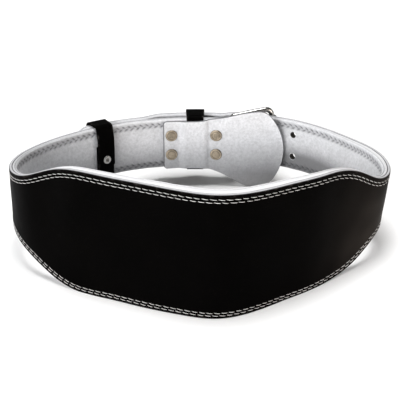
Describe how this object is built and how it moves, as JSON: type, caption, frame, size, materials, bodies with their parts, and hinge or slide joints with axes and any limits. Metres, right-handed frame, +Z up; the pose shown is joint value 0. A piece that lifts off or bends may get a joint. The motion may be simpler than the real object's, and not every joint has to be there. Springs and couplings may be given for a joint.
{
  "type": "weightlifting belt",
  "caption": "Padded leather weightlifting belt, buckled into a loop, with a wide contoured back panel, roller buckle, keepers and a riveted guard flap.",
  "frame": {"origin": "middle of the bounding box in plan, at the surface that the belt stands on", "axes": "+X to the right seen from the back panel, +Y from the back panel to the buckle, +Z up"},
  "size_m": [0.3104, 0.2582, 0.1024],
  "materials": {
    "black_leather": "satin, fine grain",
    "light_suede": "matte suede",
    "nickel_steel": "polished nickel plate, lightly worn",
    "aged_brass": "dull, darkened"
  },
  "bodies": {
    "root": {"outer_leather": "black_leather", "suede_lining": "light_suede", "tongue_guard": "light_suede", "guard_rivet_1": "aged_brass", "guard_rivet_2": "aged_brass", "guard_rivet_3": "aged_brass", "guard_rivet_4": "aged_brass", "buckle_strap": "black_leather", "buckle_frame": "nickel_steel", "buckle_roller": "nickel_steel", "buckle_prong_upper": "nickel_steel", "buckle_prong_lower": "nickel_steel", "keeper_fixed": "black_leather", "keeper_sliding": "black_leather", "keeper_rivet": "nickel_steel"}
  },
  "joints": []
}
